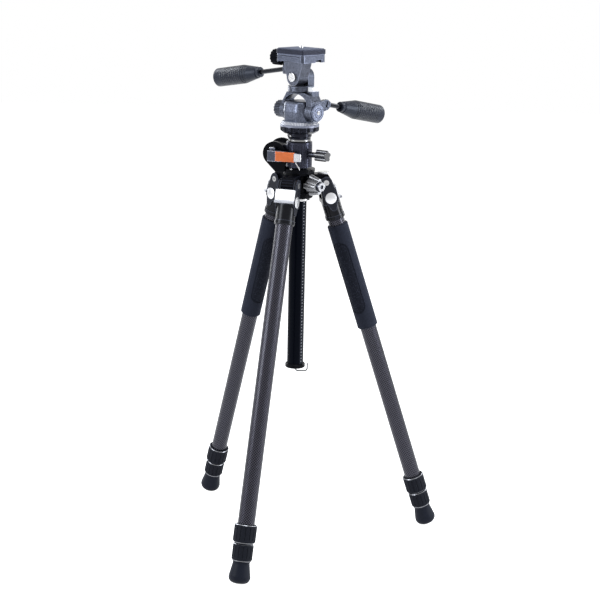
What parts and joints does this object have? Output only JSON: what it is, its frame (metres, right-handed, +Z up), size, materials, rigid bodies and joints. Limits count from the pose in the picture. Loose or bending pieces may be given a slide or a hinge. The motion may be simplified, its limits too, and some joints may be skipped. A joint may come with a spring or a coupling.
{
  "type": "camera tripod with pan head",
  "caption": "Three-legged folding tripod with telescoping legs, a sliding centre column and a three-way pan head with a quick-release plate and camera screw.",
  "frame": {"origin": "centre of the bounding box, at the floor under the feet", "axes": "+Z up along the centre column and the camera screw; the front leg points to the side of -Y"},
  "size_m": [0.3972, 0.4148, 0.7845],
  "materials": {
    "black_casting": "satin",
    "black_plastic": "satin",
    "carbon_tube": "satin",
    "lock_rubber": "matte",
    "foot_rubber": "matte",
    "navy_foam": "matte",
    "bright_metal": "polished",
    "grip_rubber": "matte",
    "head_casting": "satin",
    "orange_plastic": "gloss",
    "level_plastic": "gloss"
  },
  "bodies": {
    "hub": {"hub_casting": "black_casting", "hub_collar": "bright_metal", "hinge_pins": "bright_metal", "hub_level": "level_plastic"},
    "swivel_knob": {"swivel_knob": "black_plastic"},
    "front_leg": {"front_leg_casting": "black_casting", "front_upper_tube": "carbon_tube"},
    "front_angle_tab": {"front_angle_tab": "black_plastic"},
    "front_upper_lock": {"front_upper_lock": "lock_rubber"},
    "front_middle_section": {"front_middle_tube": "carbon_tube"},
    "front_lower_lock": {"front_lower_lock": "lock_rubber"},
    "front_lower_section": {"front_lower_tube": "carbon_tube", "front_foot": "foot_rubber"},
    "right_leg": {"right_leg_casting": "black_casting", "right_upper_tube": "carbon_tube", "right_foam_grip": "navy_foam"},
    "right_angle_tab": {"right_angle_tab": "black_plastic"},
    "right_upper_lock": {"right_upper_lock": "lock_rubber"},
    "right_middle_section": {"right_middle_tube": "carbon_tube"},
    "right_lower_lock": {"right_lower_lock": "lock_rubber"},
    "right_lower_section": {"right_lower_tube": "carbon_tube", "right_foot": "foot_rubber"},
    "back_leg": {"back_leg_casting": "black_casting", "back_upper_tube": "carbon_tube", "back_foam_grip": "navy_foam"},
    "back_angle_tab": {"back_angle_tab": "black_plastic"},
    "back_upper_lock": {"back_upper_lock": "lock_rubber"},
    "back_middle_section": {"back_middle_tube": "carbon_tube"},
    "back_lower_lock": {"back_lower_lock": "lock_rubber"},
    "back_lower_section": {"back_lower_tube": "carbon_tube", "back_foot": "foot_rubber"},
    "column_support": {"swivel_ring": "black_casting", "column_housing": "black_plastic", "index_disc": "bright_metal"},
    "lock_lever": {"lock_lever": "bright_metal", "lever_insert": "orange_plastic"},
    "column_knob": {"column_knob": "black_plastic"},
    "centre_column": {"column_tube": "carbon_tube", "column_plate": "black_plastic", "column_cap": "black_plastic", "pan_base": "head_casting"},
    "hook": {"column_hook": "bright_metal"},
    "pan_lock_ring": {"pan_lock_ring": "black_plastic"},
    "pan_block": {"tilt_block": "head_casting", "pan_scale_ring": "head_casting"},
    "yoke": {"yoke": "head_casting", "yoke_level": "level_plastic", "tilt_shaft": "bright_metal", "side_bolt": "bright_metal"},
    "tilt_knob": {"tilt_knob": "black_plastic"},
    "tilt_handle": {"tilt_rod": "bright_metal", "tilt_grip": "grip_rubber"},
    "camera_bed": {"side_bracket": "head_casting", "platform": "head_casting"},
    "side_handle": {"side_rod": "bright_metal", "side_grip": "grip_rubber"},
    "plate_knob": {"plate_knob": "black_plastic"},
    "quick_plate": {"quick_plate": "head_casting", "plate_pad": "foot_rubber"},
    "camera_screw": {"camera_screw": "bright_metal"}
  },
  "joints": [
    {"name": "front_leg_hinge", "type": "hinge", "parent": "hub", "child": "front_leg", "pos_m": [-0.05218, -0.01893, 0.57554], "axis": [-0.9397, 0.342, 0], "range_deg": [-18, 57]},
    {"name": "right_leg_hinge", "type": "hinge", "parent": "hub", "child": "right_leg", "pos_m": [0.00196, 0.02649, 0.57554], "axis": [0.1736, -0.9848, 0], "range_deg": [-18, 57]},
    {"name": "back_leg_hinge", "type": "hinge", "parent": "hub", "child": "back_leg", "pos_m": [-0.06445, 0.05066, 0.57554], "axis": [0.766, 0.6428, 0], "range_deg": [-18, 57]},
    {"name": "column_slide", "type": "slide", "parent": "column_support", "child": "centre_column", "axis": [0, 0, 1], "range_m": [0, 0.25]},
    {"name": "pan", "type": "hinge", "parent": "centre_column", "child": "pan_block", "pos_m": [-0.03823, 0.0194, 0.66914], "axis": [0, 0, 1], "continuous": true},
    {"name": "front_tilt", "type": "hinge", "parent": "pan_block", "child": "yoke", "pos_m": [-0.03823, 0.0194, 0.68464], "axis": [0.7314, -0.682, 0], "range_deg": [-30, 90]},
    {"name": "side_tilt", "type": "hinge", "parent": "yoke", "child": "camera_bed", "pos_m": [-0.03823, 0.0194, 0.73614], "axis": [0.682, 0.7314, 0], "range_deg": [-40, 60]},
    {"name": "support_swivel", "type": "hinge", "parent": "hub", "child": "column_support", "pos_m": [-0.03823, 0.0194, 0.59254], "axis": [0, 0, 1], "continuous": true},
    {"name": "plate_slide", "type": "slide", "parent": "camera_bed", "child": "quick_plate", "axis": [0.682, 0.7314, 0], "range_m": [0, 0.055]},
    {"name": "front_middle_slide", "type": "slide", "parent": "front_leg", "child": "front_middle_section", "axis": [-0.1057, -0.2904, -0.9511], "range_m": [0, 0.4]},
    {"name": "front_lower_slide", "type": "slide", "parent": "front_middle_section", "child": "front_lower_section", "axis": [-0.1057, -0.2904, -0.9511], "range_m": [0, 0.4]},
    {"name": "right_middle_slide", "type": "slide", "parent": "right_leg", "child": "right_middle_section", "axis": [0.3043, 0.0537, -0.9511], "range_m": [0, 0.4]},
    {"name": "right_lower_slide", "type": "slide", "parent": "right_middle_section", "child": "right_lower_section", "axis": [0.3043, 0.0537, -0.9511], "range_m": [0, 0.4]},
    {"name": "back_middle_slide", "type": "slide", "parent": "back_leg", "child": "back_middle_section", "axis": [-0.1986, 0.2367, -0.9511], "range_m": [0, 0.4]},
    {"name": "back_lower_slide", "type": "slide", "parent": "back_middle_section", "child": "back_lower_section", "axis": [-0.1986, 0.2367, -0.9511], "range_m": [0, 0.4]},
    {"name": "lever_swing", "type": "hinge", "parent": "column_support", "child": "lock_lever", "pos_m": [-0.07915, 0.00344, 0.61954], "axis": [0, 0, -1], "range_deg": [0, 80]},
    {"name": "front_tab_hinge", "type": "hinge", "parent": "front_leg", "child": "front_angle_tab", "pos_m": [-0.05643, -0.03062, 0.56802], "axis": [-0.9397, 0.342, 0], "range_deg": [0, 20], "stiffness_Nm_per_rad": 0.15, "springref_deg": -5.73},
    {"name": "right_tab_hinge", "type": "hinge", "parent": "right_leg", "child": "right_angle_tab", "pos_m": [0.0142, 0.02865, 0.56802], "axis": [0.1736, -0.9848, 0], "range_deg": [0, 20], "stiffness_Nm_per_rad": 0.15, "springref_deg": -5.73},
    {"name": "back_tab_hinge", "type": "hinge", "parent": "back_leg", "child": "back_angle_tab", "pos_m": [-0.07244, 0.06018, 0.56802], "axis": [0.766, 0.6428, 0], "range_deg": [0, 20], "stiffness_Nm_per_rad": 0.15, "springref_deg": -5.73},
    {"name": "front_upper_lock_turn", "type": "hinge", "parent": "front_leg", "child": "front_upper_lock", "pos_m": [-0.1065, -0.16819, 0.0867], "axis": [0.1057, 0.2904, 0.9511], "range_deg": [0, 120]},
    {"name": "front_lower_lock_turn", "type": "hinge", "parent": "front_middle_section", "child": "front_lower_lock", "pos_m": [-0.10957, -0.17661, 0.05912], "axis": [0.1057, 0.2904, 0.9511], "range_deg": [0, 120]},
    {"name": "right_upper_lock_turn", "type": "hinge", "parent": "right_leg", "child": "right_upper_lock", "pos_m": [0.15838, 0.05407, 0.0867], "axis": [-0.3043, -0.0537, 0.9511], "range_deg": [0, 120]},
    {"name": "right_lower_lock_turn", "type": "hinge", "parent": "right_middle_section", "child": "right_lower_lock", "pos_m": [0.1672, 0.05563, 0.05912], "axis": [-0.3043, -0.0537, 0.9511], "range_deg": [0, 120]},
    {"name": "back_upper_lock_turn", "type": "hinge", "parent": "back_leg", "child": "back_upper_lock", "pos_m": [-0.16655, 0.17233, 0.0867], "axis": [0.1986, -0.2367, 0.9511], "range_deg": [0, 120]},
    {"name": "back_lower_lock_turn", "type": "hinge", "parent": "back_middle_section", "child": "back_lower_lock", "pos_m": [-0.17231, 0.1792, 0.05912], "axis": [0.1986, -0.2367, 0.9511], "range_deg": [0, 120]},
    {"name": "column_knob_turn", "type": "hinge", "parent": "column_support", "child": "column_knob", "pos_m": [-0.01119, 0.00048, 0.61954], "axis": [0.8192, -0.5736, 0], "range_deg": [0, 360]},
    {"name": "swivel_knob_turn", "type": "hinge", "parent": "hub", "child": "swivel_knob", "pos_m": [-0.01882, -0.00215, 0.57404], "axis": [0.6691, -0.7431, 0], "range_deg": [0, 360]},
    {"name": "pan_ring_turn", "type": "hinge", "parent": "centre_column", "child": "pan_lock_ring", "pos_m": [-0.03823, 0.0194, 0.65134], "axis": [0, 0, 1], "range_deg": [0, 60]},
    {"name": "tilt_knob_turn", "type": "hinge", "parent": "yoke", "child": "tilt_knob", "pos_m": [-0.03823, 0.0194, 0.68464], "axis": [0.7314, -0.682, 0], "range_deg": [0, 360]},
    {"name": "tilt_handle_turn", "type": "hinge", "parent": "yoke", "child": "tilt_handle", "pos_m": [0.00344, 0.02157, 0.69464], "axis": [0.6695, 0.7179, -0.1908], "range_deg": [0, 180]},
    {"name": "side_handle_turn", "type": "hinge", "parent": "camera_bed", "child": "side_handle", "pos_m": [-0.06065, 0.03348, 0.74634], "axis": [-0.7213, 0.6726, -0.165], "range_deg": [0, 180]},
    {"name": "plate_knob_turn", "type": "hinge", "parent": "camera_bed", "child": "plate_knob", "pos_m": [-0.0667, 0.02955, 0.76394], "axis": [-0.7314, 0.682, 0], "range_deg": [0, 360]},
    {"name": "camera_screw_turn", "type": "hinge", "parent": "quick_plate", "child": "camera_screw", "pos_m": [-0.03823, 0.0194, 0.77794], "axis": [0, 0, 1], "continuous": true},
    {"name": "hook_turn", "type": "hinge", "parent": "centre_column", "child": "hook", "pos_m": [-0.03823, 0.0194, 0.27854], "axis": [0, 0, 1], "continuous": true}
  ]
}
